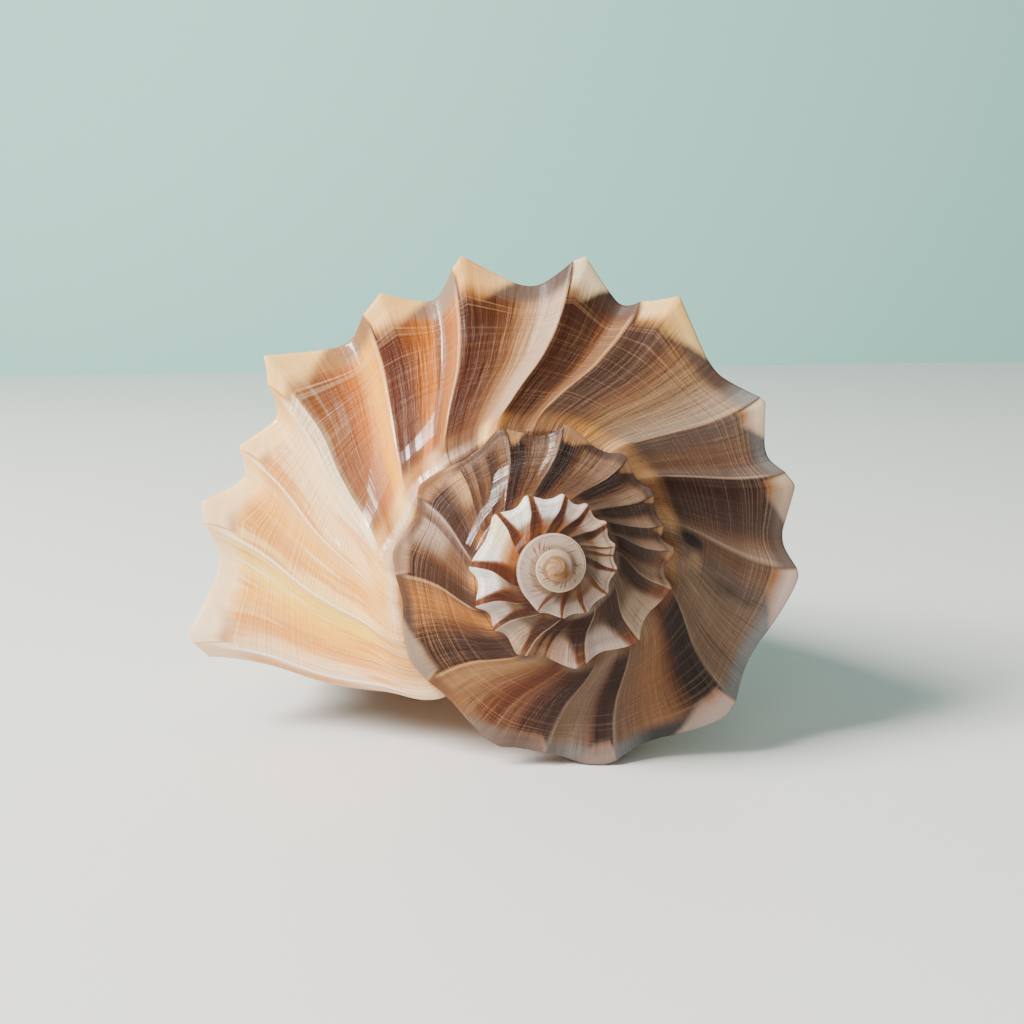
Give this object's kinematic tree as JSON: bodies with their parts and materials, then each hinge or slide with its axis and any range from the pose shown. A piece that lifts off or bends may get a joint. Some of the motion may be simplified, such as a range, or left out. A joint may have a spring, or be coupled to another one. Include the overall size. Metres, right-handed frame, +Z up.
{
  "type": "whelk shell",
  "caption": "Left-handed spiral whelk shell with a knobbed shoulder, open aperture and long siphonal canal, lying on its aperture side.",
  "frame": {"origin": "centre of the bounding box, at its bottom, on the surface the shell lies on", "axes": "+Y along the shell's length from the spire to the canal end, +Z up, +X to the right seen from the spire"},
  "size_m": [0.0916, 0.1598, 0.0719],
  "materials": {
    "shell": "satin"
  },
  "bodies": {
    "root": {"whelk_shell": "shell"}
  },
  "joints": []
}
